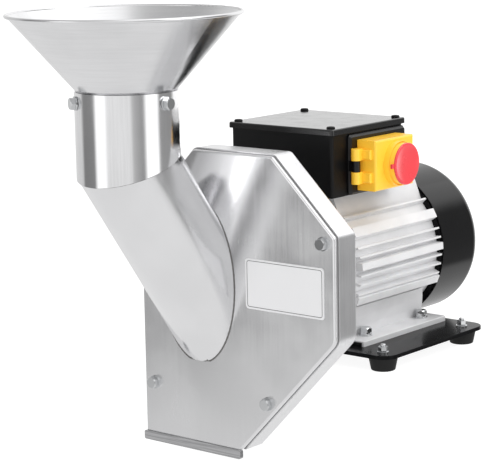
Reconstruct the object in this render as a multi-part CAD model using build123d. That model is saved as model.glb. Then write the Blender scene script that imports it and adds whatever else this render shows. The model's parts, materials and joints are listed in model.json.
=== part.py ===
from build123d import *
import math
import os

# Electric stainless-steel fruit crusher: a hopper and slanting feed tube drop fruit through the
# cover of a flat sheet-metal housing, knives on the motor's shaft chop it, and the pulp falls out
# of the open bottom of the housing, in front of the bench edge.
#
# The model is drawn in a working frame: the shaft's axis is the Y axis, y = 0 is the front face
# of the housing cover, +Y runs back along the motor, +X is the switch side and +Z is up.
# write() moves each piece to the stored frame, whose origin is on the bench, midway between the
# four rubber feet. All sizes are millimetres.

# ---- driving dimensions: motor frame and base (IEC frame size 71)
FRAME_HEIGHT = 71.0          # foot plane to shaft axis
FOOT_SPAN_X = 112.0          # motor foot holes, across
FOOT_SPAN_Y = 90.0           # motor foot holes, along
FRONT_FOOT_Y = 120.2
BASE_THICK = 3.5
BASE_X = 221.0
BASE_Y0, BASE_Y1 = 78.0, 242.0
BASE_CORNER = 15.0
FOOT_TALL = 12.0             # rubber feet
PAD_SPAN_X, PAD_SPAN_Y = 192.0, 128.0
PAD_FRONT_Y = 92.0
PAD_LOW_R, PAD_TOP_R = 11.0, 13.5
RECESS_R, RECESS_DEEP = 6.5, 5.0           # socket under each foot, open to the bench
SCREW_BORE_R, SCREW_SEAT = 5.9, 8.8        # bore above it that takes the screw's head
SHAFT_HEIGHT = FRAME_HEIGHT + BASE_THICK + FOOT_TALL
PAD_MID_Y = PAD_FRONT_Y + PAD_SPAN_Y / 2

# ---- driving dimensions: housing
SHEET = 1.5
HOUSE_HALF = 112.0           # half width between the upright sides
HOUSE_TOP = 114.7
TOP_LEFT, TOP_RIGHT = -47.0, 44.0          # ends of the level top edge
SHOULDER_Z = 49.0            # where the upper slopes meet the upright sides
CORNER_R, LEFT_CORNER_R, HIP_R = 5.0, 9.0, 14.0
HIP_Z = -43.6                # where the lower right slope starts
OUTLET_Z = -156.6            # bottom edge, open between the left side and the slope
OUTLET_RIGHT = 3.6
COVER_DEEP = 3.2             # depth of the cover's return flange
COVER_ROUND = 2.1            # rounding of the cover's front edge
GASKET = 1.2
HOUSE_DEEP = 29.4
PAN_FLANGE = 4.0             # inward front flange of the pan
LIP_TALL, LIP_PROUD = 8.4, 1.5
COVER_BOLTS = [(-99.5, 43.5), (99.5, 43.5), (-99.9, -108.4), (35.2, -108.4)]
PILLAR_R = 6.0               # threaded pillars behind the cover bolts

# ---- driving dimensions: feed
TUBE_R, TUBE_WALL = 44.4, 1.5
TUBE_FOOT = Vector(-45.0, 0, -4.9)        # where the tube's axis meets the cover
ELBOW = Vector(-48.0, -82.4, 110.7)       # where it meets the upright collar's axis
COLLAR_R, COLLAR_TOP = 45.5, 175.6
HOPPER_WALL, HOPPER_RIM_R, HOPPER_RIM_Z = 1.2, 102.8, 242.9
NECK_R, NECK_FOOT_Z = 43.8, 150.0
HOPPER_BOLT_Z = 166.5
HOPPER_BOLT_ANGLES = (0, 120, 240)
PLATE_X0, PLATE_X1, PLATE_Z0, PLATE_Z1 = 12.9, 100.2, -23.5, 22.0

# ---- driving dimensions: motor
FRAME_Y0, FRAME_Y1 = 92.0, 222.0
FRAME_ROOT_R, FIN_TIP_R, LUG_TIP_R = 66.5, 72.5, 74.0
FRAME_BORE_R = 58.0
THIN_FINS = (42.0, 17.3, 10.4, -3.2, -10.2, -17.7)      # degrees above the horizontal
LUGS = ((29.0, 9.0), (3.7, 6.5), (-22.5, 7.5))          # degrees, width of each thick fin
LEG_Y0, LEG_Y1, LEG_TOP_Y1 = 98.5, 222.0, 209.0      # the leg's rear edge slants forward
RAIL_X0, RAIL_X1, RAIL_Y1, RAIL_TALL = 40.0, 70.0, 232.0, 5.0
TIE_R = 62.2                 # circle of the four long through bolts
FLANGE_Y = 75.2              # motor flange face, 45 mm ahead of the front foot holes
FLANGE_R, SPIGOT_R, FLANGE_BOLT_R = 52.5, 35.0, 42.5
CORE_Y0, CORE_Y1 = 115.0, 190.0
ROTOR_R, STATOR_BORE_R = 39.6, 40.0
BEARING_BORE_R, BEARING_R, BEARING_WIDE = 7.5, 17.5, 11.0
FRONT_BEARING_Y, REAR_BEARING_Y = 80.0, 213.0
SHAFT_END_R, SHAFT_CORE_R = 7.0, 11.0
SHAFT_FRONT, SHAFT_REAR = 45.2, 268.0
COWL_R, COWL_WALL, COWL_Y0, COWL_Y1 = 73.4, 1.5, 223.7, 288.0
COWL_SCREW_ANGLES = (75, 155, 240)
COWL_FLAT_Z = -70.5          # the cowl is flattened here to pass over the base plate
COWL_BEND = 13.0             # rounding of the cowl's rear edge
ENDSHIELD_RIM_R = 71.7       # rear rim that the cowl fits over
KEY_HALF, KEY_Y0, KEY_Y1, KEY_FLOOR, KEY_TOP = 2.5, 50.0, 68.0, 4.0, 9.0
BALL_PITCH_R, BALL_R, GROOVE_R = 12.5, 3.0, 3.3
INNER_RING_R, OUTER_RING_R = 10.6, 14.4    # faces of the two rings that the balls run between
FAN_HUB_R, FAN_DISC_R, BLADE_R, FAN_Y0, FAN_Y1 = 13.0, 52.0, 60.0, 238.0, 262.0
CIRCLIP_R, CIRCLIP_BORE_R, CIRCLIP_Y0, CIRCLIP_Y1 = 9.0, 6.4, 263.0, 264.2
SLOT_COUNT = 24              # stator slots

# ---- driving dimensions: knives
HUB_R, HUB_Y0, HUB_Y1 = 14.0, 20.0, 70.0
STUB_R, STUB_END = 6.0, 5.0
KNIFE_TIP_R, KNIFE_WIDE, KNIFE_THICK = 96.0, 26.0, 3.0
PIN_X, PIN_R = 10.0, 2.0     # dowels that key the knives to the hub
SET_SCREW_Y, SET_SCREW_R = 58.0, 2.5
SEAL_LIP_R = HUB_R + 0.06

# ---- driving dimensions: control box and switch
BOX_X, BOX_Y0, BOX_Y1, BOX_Z0, BOX_Z1 = 58.0, 68.5, 178.0, 69.3, 127.0
BOX_WALL = 3.0
LID_X, LID_Y0, LID_Y1, LID_Z0, LID_Z1 = 60.6, 66.4, 180.1, 126.2, 131.6
LID_SCREWS = [(x, y) for x in (-53.5, 53.5) for y in (73.5, 173.0)]
SWITCH_Y0, SWITCH_Y1, SWITCH_Z0, SWITCH_Z1 = 91.0, 178.0, 69.5, 124.5
PANEL_FACE = 62.0
FLAP_Y0, FLAP_Y1, FLAP_Z0, FLAP_Z1 = 100.7, 160.0, 73.5, 119.3
FLAP_X0, FLAP_X1, FLAP_WALL, FLAP_ROUND = 62.6, 83.0, 2.5, 2.2
HINGE_X, HINGE_Y = 66.6, 93.0
KNUCKLE_R, HINGE_PIN_R = 4.3, 1.5
KNUCKLES = ((80.3, 91.2), (101.6, 112.2))  # heights of the flap's two hinge knuckles
BUTTON_Y, BUTTON_Z = 133.0, 96.0           # mushroom centre
COLLAR_RING_R, COLLAR_RING_TOP = 20.4, 88.5          # yellow ring on the flap
POCKET_R, POCKET_FLOOR, POCKET_BACK = 19.8, 80.7, 76.5
SKIRT_R, SKIRT_TIP_R, SKIRT_BORE_R, SKIRT_FOOT = 19.4, 18.6, 17.0, 84.6
MUSHROOM_R, MUSHROOM_BACK, MUSHROOM_FACE = 19.1, 93.4, 95.0
CORE_R, CORE_BACK = 16.5, 90.6             # thicker middle of the disc, inside the skirt
DISH_R, DISH_DEEP = 62.0, 2.4
STEM_R, STEM_END, CATCH_X0, CATCH_X1 = 6.0, 70.0, 74.6, 76.0
SPRING_R, SPRING_WIRE = 9.0, 0.6
POINTER_Z0, POINTER_Z1, POINTER_LONG = 94.0, 98.0, 4.0
BUTTON_HALF_TALL = 11.0
START_Y0, START_Y1, STOP_Y0, STOP_Y1 = 109.0, 120.0, 125.0, 143.0
CAPACITOR_R, CAPACITOR_X = 17.5, -36.0
GLAND_Y, GLAND_Z, GLAND_THREAD_R, GLAND_BORE_R = 150.0, 98.0, 8.0, 4.2

FIT = 0.05                   # radial running clearance
M6_R, M6_HOLE, M6_AF, M6_HEAD = 3.0, 3.3, 10.0, 4.3
M5_R, M5_HOLE, M5_AF, M5_NUT = 2.5, 2.8, 8.0, 4.6
WASHER_R, WASHER = 6.2, 1.4
SMALL_WASHER_R, SMALL_WASHER = 5.4, 1.2
SPRING_WASHER_R, SPRING_WASHER = 5.2, 2.2
FOOT_BOLT_HOLE = 3.5
TIE_BOLT_R, TIE_HOLE = 2.5, 2.7
HOUSING_SCREW_CIRCLE = 59.0  # the adapter's screws through the pan's back plate
QUARTERS, DIAGONALS = (0, 90, 180, 270), (45, 135, 225, 315)


def write(node, shape):
    """Move a finished piece, or a list of like pieces, to the stored frame and write its STEP."""
    pieces = shape if isinstance(shape, list) else [shape]
    solids = [s for piece in pieces for s in piece.solids()]
    moved = Compound(children=solids).moved(Location((0, -PAD_MID_Y, SHAFT_HEIGHT)))
    export_step(moved, f"parts/{node}.step")


# ---- drawing helpers

def along_y(outline, y0, y1):
    """Extrude an X-Z outline from y0 back to y1."""
    plane = Plane(origin=(0, y1, 0), x_dir=(1, 0, 0), z_dir=(0, -1, 0))
    return extrude(plane * outline, amount=y1 - y0)


def along_x(outline, x0, x1):
    """Extrude a Y-Z outline from x0 out to x1."""
    plane = Plane(origin=(x0, 0, 0), x_dir=(0, 1, 0), z_dir=(1, 0, 0))
    return extrude(plane * outline, amount=x1 - x0)


def along_z(outline, z0, z1):
    """Extrude an X-Y outline from z0 up to z1."""
    return extrude(Pos(0, 0, z0) * outline, amount=z1 - z0)


def rod_y(radius, y0, y1, x=0.0, z=0.0):
    return along_y(Pos(x, z) * Circle(radius), y0, y1)


def rod_x(radius, x0, x1, y=0.0, z=0.0):
    return along_x(Pos(y, z) * Circle(radius), x0, x1)


def rod_z(radius, z0, z1, x=0.0, y=0.0):
    return along_z(Pos(x, y) * Circle(radius), z0, z1)


def block(x0, x1, y0, y1, z0, z1):
    return Pos((x0 + x1) / 2, (y0 + y1) / 2, (z0 + z1) / 2) * Box(x1 - x0, y1 - y0, z1 - z0)


def rect(x0, x1, y0, y1):
    return Pos((x0 + x1) / 2, (y0 + y1) / 2) * Rectangle(x1 - x0, y1 - y0)


def round_rect(x0, x1, y0, y1, radius):
    return Pos((x0 + x1) / 2, (y0 + y1) / 2) * RectangleRounded(x1 - x0, y1 - y0, radius)


def polygon(points):
    return make_face(Polyline(*points, close=True))


def turned_y(points):
    """Turn a closed (radius, y) profile about the shaft's axis."""
    return revolve(make_face(Polyline(*points, close=True)), Axis.Y)


def polar(radius, degrees):
    turn = math.radians(degrees)
    return radius * math.cos(turn), radius * math.sin(turn)


def hexagon(across_flats):
    return RegularPolygon(across_flats / math.sqrt(3), 6)


def hex_head(across_flats, low, high):
    """A bolt head along +Z with its top corners turned down to a round face."""
    corner = across_flats / math.sqrt(3)
    turned = Pos(0, 0, high - corner / 2) * Cone(corner * 1.62, corner * 0.82, corner)
    return along_z(hexagon(across_flats), low, high) & turned


def bolt(length, sprung=False):
    """A hex bolt: shank down -Z from z = 0, and a washer, or a washer and spring washer."""
    radius = M6_R - FIT
    lift = WASHER + (SPRING_WASHER if sprung else 0.0)
    screw = hex_head(M6_AF, lift, lift + M6_HEAD) + rod_z(radius, -length, lift)
    pieces = [screw, along_z(Circle(WASHER_R) - Circle(radius + FIT), 0, WASHER)]
    if sprung:
        split_ring = Circle(SPRING_WASHER_R) - Circle(radius + FIT) - rect(0, 9, -0.5, 0.5)
        pieces.append(along_z(split_ring, WASHER, lift))
    return pieces


def nut(across_flats, tall, bore):
    return extrude(hexagon(across_flats) - Circle(bore), amount=tall)


def placed(location, pieces):
    return [location * piece for piece in pieces]


# ---- housing

def round_corners(shape, places, radius):
    """Round the corners of a flat outline that lie at the given (x, y) places."""
    near = [v for v in shape.vertices()
            if any(math.hypot(v.X - x, v.Y - y) < 0.01 for x, y in places)]
    return fillet(near, radius)


def housing_outline(inset, bottom=OUTLET_Z):
    """The housing's seven-sided outline, moved inwards by inset, down to the given height."""
    slope = (OUTLET_Z - HIP_Z) / (OUTLET_RIGHT - HOUSE_HALF)
    deep = OUTLET_Z - 60
    far_x = OUTLET_RIGHT + (deep - OUTLET_Z) / slope
    hip, shoulder = (HOUSE_HALF, HIP_Z), (HOUSE_HALF, SHOULDER_Z)
    top_right, top_left = (TOP_RIGHT, HOUSE_TOP), (TOP_LEFT, HOUSE_TOP)
    left_shoulder = (-HOUSE_HALF, SHOULDER_Z)
    shape = polygon([(-HOUSE_HALF, deep), (far_x, deep), hip, shoulder, top_right, top_left,
                     left_shoulder])
    shape = round_corners(shape, [hip], HIP_R)
    shape = round_corners(shape, [shoulder, top_right], CORNER_R)
    shape = round_corners(shape, [top_left, left_shoulder], LEFT_CORNER_R)
    if inset > 0:
        shape = offset(shape, amount=-inset, kind=Kind.INTERSECTION)
    elif inset < 0:
        shape = offset(shape, amount=-inset, kind=Kind.ARC)
    return shape & rect(-200, 200, bottom, 200)


def open_ring(outer_inset, inner_inset):
    """A band that follows the housing's outline and is left open across the outlet."""
    return housing_outline(outer_inset) - housing_outline(inner_inset, OUTLET_Z - 5)


def bolt_holes(places, radius, y0, y1):
    return [rod_y(radius, y0, y1, x, z) for x, z in places]


def housing_shell():
    """Welded pan: back plate, side band, narrow front flange and four threaded pillars' seats."""
    front = COVER_DEEP + GASKET
    pan = along_y(housing_outline(-SHEET), front, HOUSE_DEEP)
    rear_edges = [e for e in pan.faces().sort_by(Axis.Y)[-1].edges()
                  if abs(e.center().Z - OUTLET_Z) > 1]
    pan = fillet(rear_edges, 2.4)
    pan -= along_y(housing_outline(0, OUTLET_Z - 5), front + SHEET, HOUSE_DEEP - SHEET)
    pan -= along_y(housing_outline(PAN_FLANGE, OUTLET_Z - 5), front - 1, HOUSE_DEEP - SHEET)
    pan -= rod_y(16.0, HOUSE_DEEP - 5, HOUSE_DEEP + 1)
    for hole in bolt_holes(flange_screw_places(), M6_HOLE, HOUSE_DEEP - 5, HOUSE_DEEP + 1):
        pan -= hole
    return pan


def flange_screw_places():
    return [polar(HOUSING_SCREW_CIRCLE, angle) for angle in QUARTERS]


def feed_direction():
    return (ELBOW - TUBE_FOOT).normalized()


def feed_cylinder(radius, before, after):
    """A cylinder on the slanting tube's axis, from before the cover to after the elbow."""
    run = ELBOW - TUBE_FOOT
    way = feed_direction()
    start = TUBE_FOOT - way * before
    base = Plane(origin=start, z_dir=way)
    return extrude(base * Circle(radius), amount=run.length + before + after)


def housing_cover():
    """Lid with a shallow return flange, four bolt holes and the slanting tube's opening."""
    lid = along_y(housing_outline(0), 0, COVER_DEEP)
    front_edges = [e for e in lid.faces().sort_by(Axis.Y)[0].edges()
                   if abs(e.center().Z - OUTLET_Z) > 1]
    lid = fillet(front_edges, COVER_ROUND)
    lid -= along_y(housing_outline(SHEET, OUTLET_Z - 5), SHEET, COVER_DEEP + 1)
    lid -= feed_cylinder(TUBE_R - TUBE_WALL, 120, 10)
    for hole in bolt_holes(COVER_BOLTS, M6_HOLE, -1, COVER_DEEP + 1):
        lid -= hole
    return lid


def cover_gasket():
    return along_y(open_ring(0.4, PAN_FLANGE), COVER_DEEP, COVER_DEEP + GASKET)


def cover_pillars():
    """Threaded pillars between the pan's back plate and the cover."""
    pillars = []
    for x, z in COVER_BOLTS:
        pillar = rod_y(PILLAR_R, SHEET, HOUSE_DEEP - SHEET, x, z)
        pillars.append(pillar - rod_y(M6_R, SHEET - 1, 17.0, x, z))
    return pillars


def cover_bolts():
    bolts = []
    for number, (x, z) in enumerate(COVER_BOLTS):
        turn = Rot(0, 0, 17.0 * number)
        bolts += placed(Pos(x, 0, z) * Rot(90, 0, 0) * turn, bolt(14.0))
    return bolts


def outlet_lip():
    """Folded lip strip: hangs below the cover's bottom edge, with a tongue behind the sheet."""
    low, high = OUTLET_Z - LIP_TALL, OUTLET_Z
    front = round_rect(-HOUSE_HALF - SHEET, OUTLET_RIGHT, low, high, 1.8)
    strip = along_y(front, -LIP_PROUD, SHEET + 1.2)
    tongue = block(-HOUSE_HALF + 4, OUTLET_RIGHT - 6, SHEET, SHEET + 1.2, high - 3, high + 9)
    return strip + tongue


def name_plate():
    return along_y(round_rect(PLATE_X0, PLATE_X1, PLATE_Z0, PLATE_Z1, 3.0), -0.6, 0)


# ---- feed tube, collar and hopper

def mitre_plane():
    """The plane in which the slanting tube meets the upright collar."""
    return Plane(origin=ELBOW, z_dir=feed_direction() + Vector(0, 0, 1))


def feed_tube():
    tube = feed_cylinder(TUBE_R, 60, 60) - feed_cylinder(TUBE_R - TUBE_WALL, 61, 61)
    tube &= block(-200, 200, -300, 0, -200, 300)
    return split(tube, bisect_by=mitre_plane(), keep=Keep.BOTTOM)


def feed_collar():
    ring = Circle(COLLAR_R) - Circle(COLLAR_R - TUBE_WALL)
    collar = along_z(Pos(ELBOW.X, ELBOW.Y) * ring, 30, COLLAR_TOP)
    collar = split(collar, bisect_by=mitre_plane(), keep=Keep.TOP)
    for hole in hopper_bolt_holes():
        collar -= hole
    return collar


def hopper_bolt_frame(angle):
    """Local frame with +Z pointing out of the collar at one hopper bolt."""
    x, y = polar(1.0, angle)
    return Plane(origin=(ELBOW.X, ELBOW.Y, HOPPER_BOLT_Z), z_dir=(x, y, 0))


def hopper_bolt_holes():
    frames = [hopper_bolt_frame(angle) for angle in HOPPER_BOLT_ANGLES]
    return [extrude(frame * Circle(M6_HOLE), amount=COLLAR_R + 5) for frame in frames]


def hopper():
    """Spun cone with a straight neck inside the collar and a rolled rim."""
    roll = 1.6
    rim_r, rim_z = HOPPER_RIM_R - roll, HOPPER_RIM_Z - roll
    lean = math.atan2(rim_z - COLLAR_TOP, rim_r - NECK_R)
    inner_r = NECK_R - HOPPER_WALL
    bend = HOPPER_WALL * math.tan((math.pi / 2 - lean) / 2)
    in_x, in_z = -HOPPER_WALL * math.sin(lean), HOPPER_WALL * math.cos(lean)
    profile = polygon([(NECK_R, NECK_FOOT_Z), (NECK_R, COLLAR_TOP), (rim_r, rim_z),
                       (rim_r + in_x, rim_z + in_z), (inner_r, COLLAR_TOP + bend),
                       (inner_r, NECK_FOOT_Z)])
    profile += Pos(rim_r, rim_z) * Circle(roll)
    cone = Pos(ELBOW.X, ELBOW.Y, 0) * revolve(Plane.XZ * profile, Axis.Z)
    for hole in hopper_bolt_holes():
        cone -= hole
    return cone


def hopper_bolts():
    bolts = []
    for angle in HOPPER_BOLT_ANGLES:
        seat = hopper_bolt_frame(angle)
        seat = seat.offset(COLLAR_R)
        bolts += placed(seat.location, bolt(10.5))
    return bolts


def hopper_nuts():
    nuts = []
    for angle in HOPPER_BOLT_ANGLES:
        seat = hopper_bolt_frame(angle).offset(NECK_R - HOPPER_WALL - 0.5 - 5.0)
        nuts += placed(seat.location, [nut(M6_AF, 5.0, M6_R)])
    return nuts


# ---- adapter between the housing and the motor

def motor_adapter():
    """Drum with an outward flange on the housing and an inward flange on the motor."""
    drum = turned_y([(48, HOUSE_DEEP), (66, HOUSE_DEEP), (66, HOUSE_DEEP + 6),
                     (FLANGE_R, HOUSE_DEEP + 6), (FLANGE_R, FLANGE_Y),
                     (SPIGOT_R + 0.1, FLANGE_Y), (SPIGOT_R + 0.1, FLANGE_Y - 6),
                     (48, FLANGE_Y - 6)])
    for hole in bolt_holes(flange_screw_places(), M6_R, HOUSE_DEEP - 1, HOUSE_DEEP + 7):
        drum -= hole
    for hole in bolt_holes(adapter_screw_places(), M6_HOLE, FLANGE_Y - 7, FLANGE_Y + 1):
        drum -= hole
    return drum


def adapter_screw_places():
    return [polar(FLANGE_BOLT_R, angle) for angle in DIAGONALS]


def cap_screw(radius, length, head_r, head_tall, socket_af):
    """A socket-head screw: head towards -Y from y = 0, shank towards +Y."""
    screw = rod_y(head_r, -head_tall, 0) + rod_y(radius, 0, length)
    return screw - along_y(hexagon(socket_af), -head_tall, -head_tall / 2)


def housing_screws():
    screw = cap_screw(M6_R - FIT, 7.4, 5.2, 3.3, 4.0)
    seat = HOUSE_DEEP - SHEET
    return [Pos(x, seat, z) * screw for x, z in flange_screw_places()]


def adapter_screws():
    screw = cap_screw(M6_R - FIT, 14.0, 5.0, 6.0, 5.0)
    return [Pos(x, FLANGE_Y - 6, z) * screw for x, z in adapter_screw_places()]


def shaft_seal():
    """Rubber lip seal behind the pan's back plate; its lip just clears the hub."""
    back = HOUSE_DEEP
    return turned_y([(17, back), (26, back), (26, back + 3), (20, back + 6),
                     (SEAL_LIP_R, back + 6), (SEAL_LIP_R, back + 4.5), (17, back + 4)])


# ---- motor

def front_endshield():
    y = FLANGE_Y
    shield = turned_y([(8.2, y - 2.5), (SPIGOT_R, y - 2.5), (SPIGOT_R, y), (FLANGE_R, y),
                       (FLANGE_R, 84), (57, 88), (FRAME_ROOT_R, 88), (FRAME_ROOT_R, FRAME_Y0),
                       (FRAME_BORE_R, FRAME_Y0), (FRAME_BORE_R, 96), (54, 96), (54, 90),
                       (48, 86), (24, 86), (24, 91), (BEARING_R, 91),
                       (BEARING_R, FRONT_BEARING_Y), (8.2, FRONT_BEARING_Y)])
    for hole in bolt_holes(adapter_screw_places(), M6_R, y - 1, y + 9):
        shield -= hole
    for hole in bolt_holes(tie_places(), TIE_HOLE, 80, FRAME_Y0 + 1):
        shield -= hole
    return shield


def rear_endshield():
    y = FRAME_Y1
    shield = turned_y([(BEARING_R, REAR_BEARING_Y), (24, REAR_BEARING_Y), (24, y), (54, y),
                       (54, y - 4), (FRAME_BORE_R, y - 4), (FRAME_BORE_R, y), (ENDSHIELD_RIM_R, y),
                       (ENDSHIELD_RIM_R, y + 4), (24, y + 4), (24, y + 6), (8, y + 6),
                       (8, y + 2), (BEARING_R, y + 2)])
    shield -= below(COWL_FLAT_Z + COWL_WALL + 0.1)
    for angle in COWL_SCREW_ANGLES:
        pad = rect(62, ENDSHIELD_RIM_R, -6, 6) & Circle(ENDSHIELD_RIM_R)
        boss = along_y(pad, y + 4, y + 15)
        boss -= rod_x(2.0, 60, 75, y + 10, 0)
        shield += Rot(0, -angle, 0) * boss
    for hole in bolt_holes(tie_places(), TIE_HOLE, y - 1, y + 5):
        shield -= hole
    return shield


def below(z):
    """Everything under the motor below one height, for cutting a flat underneath."""
    return block(-60, 60, 100, 400, z - 60, z)


def tie_places():
    return [polar(TIE_R, angle) for angle in DIAGONALS]


def tie_bolts():
    """Four long socket screws that clamp both endshields to the frame, with their nuts."""
    front, back = FRAME_Y0 - 4, FRAME_Y1 + 4
    screw = cap_screw(TIE_BOLT_R - FIT, back + 5 - front, 4.2, 5.0, 4.0)
    pieces = []
    for x, z in tie_places():
        pieces.append(Pos(x, front, z) * screw)
        pieces.append(Pos(x, back, z) * Rot(-90, 0, 0) * nut(M5_AF, 4.0, TIE_BOLT_R))
    return pieces


def fin(angle, tip_r, root_wide, tip_wide):
    """One cooling fin of the frame's cross-section, tapering outwards."""
    root_r = FRAME_ROOT_R - 2
    shape = polygon([(root_r, -root_wide / 2), (tip_r, -tip_wide / 2), (tip_r, tip_wide / 2),
                     (root_r, root_wide / 2)])
    return Rot(0, 0, angle) * shape


def frame_side():
    """Right-hand fins and lugs of the frame's cross-section."""
    side = fin(THIN_FINS[0], FIN_TIP_R, 3.0, 1.7)
    for angle in THIN_FINS[1:]:
        side += fin(angle, FIN_TIP_R, 3.0, 1.7)
    for angle, wide in LUGS:
        side += fin(angle, LUG_TIP_R, wide + 1.5, wide)
    return side


def frame_foot():
    """Right-hand leg and foot rail; the rail's front end is hollow underneath."""
    leg = polygon([(50, -40), (58, -36), (54.5, -47), (50, -58), (48, -66.5), (40, -66.5),
                   (39, -54)])
    foot = along_y(leg, LEG_Y0, LEG_Y1)
    foot -= along_x(polygon([(LEG_TOP_Y1, -34), (LEG_Y1, -62), (LEG_Y1 + 1, -62),
                             (LEG_Y1 + 1, -34)]), RAIL_X0 - 5, RAIL_X1)
    top = -FRAME_HEIGHT + RAIL_TALL
    rail = along_z(round_rect(RAIL_X0, RAIL_X1, LEG_Y0, RAIL_Y1, 1.5), -FRAME_HEIGHT, top)
    foot += fillet(rail.edges().group_by(Axis.Z)[-1], 0.8)
    return foot - block(RAIL_X0 + 3, RAIL_X1 - 2.5, LEG_Y0 - 1, LEG_Y0 + 12, -FRAME_HEIGHT - 1,
                        top - 1.3)


def motor_frame():
    """Die-cast finned frame with two feet and the pad that carries the control box."""
    section = Circle(FRAME_ROOT_R) + frame_side() + mirror(frame_side(), about=Plane.YZ)
    section += polygon([(-50, 44), (50, 44), (40, BOX_Z0), (-40, BOX_Z0)])
    frame = along_y(section, FRAME_Y0, FRAME_Y1)
    foot = frame_foot()
    frame += foot
    frame += mirror(foot, about=Plane.YZ)
    frame -= rod_y(FRAME_BORE_R, FRAME_Y0 - 1, FRAME_Y1 + 1)
    for x, y in motor_bolt_places():
        frame -= rod_z(FOOT_BOLT_HOLE, -FRAME_HEIGHT - 1, -FRAME_HEIGHT + 11, x, y)
    for x, z in tie_places():
        frame -= rod_y(TIE_HOLE, FRAME_Y0 - 1, FRAME_Y1 + 1, x, z)
    for x, y in box_screw_places():
        frame -= rod_z(2.5, 60.5, BOX_Z0 + 1, x, y)
    return frame


def motor_bolt_places():
    return [(side * FOOT_SPAN_X / 2, y) for side in (-1, 1)
            for y in (FRONT_FOOT_Y, FRONT_FOOT_Y + FOOT_SPAN_Y)]


def motor_foot_bolts():
    pieces = []
    for number, (x, y) in enumerate(motor_bolt_places()):
        seat = -FRAME_HEIGHT + RAIL_TALL
        pieces += placed(Pos(x, y, seat) * Rot(0, 0, 11.0 * number), bolt(14.5, sprung=True))
        pieces += placed(Pos(x, y, -FRAME_HEIGHT - BASE_THICK - 5), [nut(M6_AF, 5.0, M6_R)])
    return pieces


def bearing_rings(y0, inner):
    """One ring of a deep-groove ball bearing: the inner ring, or else the outer."""
    r0, r1 = (BEARING_BORE_R, INNER_RING_R) if inner else (OUTER_RING_R, BEARING_R)
    ring = turned_y([(r0, y0), (r1, y0), (r1, y0 + BEARING_WIDE), (r0, y0 + BEARING_WIDE)])
    track = revolve(Pos(BALL_PITCH_R, y0 + BEARING_WIDE / 2) * Circle(GROOVE_R), Axis.Y)
    return ring - track


def bearing_balls():
    balls = []
    for y0 in (FRONT_BEARING_Y, REAR_BEARING_Y):
        for number in range(8):
            x, z = polar(BALL_PITCH_R, 45 * number)
            balls.append(Pos(x, y0 + BEARING_WIDE / 2, z) * Sphere(BALL_R))
    return balls


def stator_core():
    section = Circle(FRAME_BORE_R) - Circle(STATOR_BORE_R)
    for number in range(SLOT_COUNT):
        slot = rect(42, 52, -2.8, 2.8) + rect(39, 43, -1.2, 1.2)
        section -= Rot(0, 0, 360 / SLOT_COUNT * number) * slot
    return along_y(section, CORE_Y0, CORE_Y1)


def stator_winding():
    """Coil sides in the slots, joined by the bundled end turns outside the core."""
    section = Circle(53.5) - Circle(43)
    ends = along_y(section, CORE_Y0 - 14, CORE_Y0 - 1) + along_y(section, CORE_Y1 + 1, CORE_Y1 + 14)
    ends = fillet(ends.edges().filter_by(GeomType.CIRCLE), 2.5)
    coil_side = block(44, 51.7, CORE_Y0 - 5, CORE_Y1 + 5, -2.5, 2.5)
    bars = [Rot(0, -360 / SLOT_COUNT * number, 0) * coil_side for number in range(SLOT_COUNT)]
    return ends.fuse(*bars)


def motor_shaft():
    shoulder = FRAME_Y1 + 2.5
    shaft = turned_y([(0, SHAFT_FRONT), (SHAFT_END_R - 0.6, SHAFT_FRONT),
                      (SHAFT_END_R, SHAFT_FRONT + 0.8),
                      (SHAFT_END_R, FLANGE_Y), (BEARING_BORE_R, FLANGE_Y), (BEARING_BORE_R, 91),
                      (SHAFT_CORE_R, 91), (SHAFT_CORE_R, REAR_BEARING_Y),
                      (BEARING_BORE_R, REAR_BEARING_Y), (BEARING_BORE_R, shoulder),
                      (SHAFT_END_R, shoulder), (SHAFT_END_R, SHAFT_REAR), (0, SHAFT_REAR)])
    shaft -= block(-KEY_HALF, KEY_HALF, KEY_Y0, KEY_Y1, KEY_FLOOR, KEY_TOP)
    return shaft - along_y(Circle(SHAFT_END_R + 1) - Circle(CIRCLIP_BORE_R), CIRCLIP_Y0, CIRCLIP_Y1)


def rotor_core():
    """Laminated core with the cast end rings of the squirrel cage."""
    return turned_y([(SHAFT_CORE_R, CORE_Y0), (26, CORE_Y0), (26, CORE_Y0 - 6), (37, CORE_Y0 - 6),
                     (37, CORE_Y0), (ROTOR_R, CORE_Y0), (ROTOR_R, CORE_Y1), (37, CORE_Y1),
                     (37, CORE_Y1 + 6), (26, CORE_Y1 + 6), (26, CORE_Y1), (SHAFT_CORE_R, CORE_Y1)])


def shaft_key():
    return block(-KEY_HALF, KEY_HALF, KEY_Y0, KEY_Y1, KEY_FLOOR, KEY_TOP)


def cooling_fan():
    """Plastic fan on the rear shaft end: hub, back disc and eight radial blades."""
    disc_back = FAN_Y0 + 2
    fan = turned_y([(SHAFT_END_R, FAN_Y0), (FAN_DISC_R, FAN_Y0), (FAN_DISC_R, disc_back),
                    (FAN_HUB_R, disc_back), (FAN_HUB_R, FAN_Y1), (SHAFT_END_R, FAN_Y1)])
    blade = block(FAN_HUB_R - 1, BLADE_R, FAN_Y0 + 1, FAN_Y1 - 2, -1.1, 1.1)
    return fan.fuse(*[Rot(0, 45 * number, 0) * blade for number in range(8)])


def fan_circlip():
    ring = Circle(CIRCLIP_R) - Circle(CIRCLIP_BORE_R) - rect(5, 12, -2.0, 2.0)
    return along_y(ring, CIRCLIP_Y0, CIRCLIP_Y1)


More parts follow.
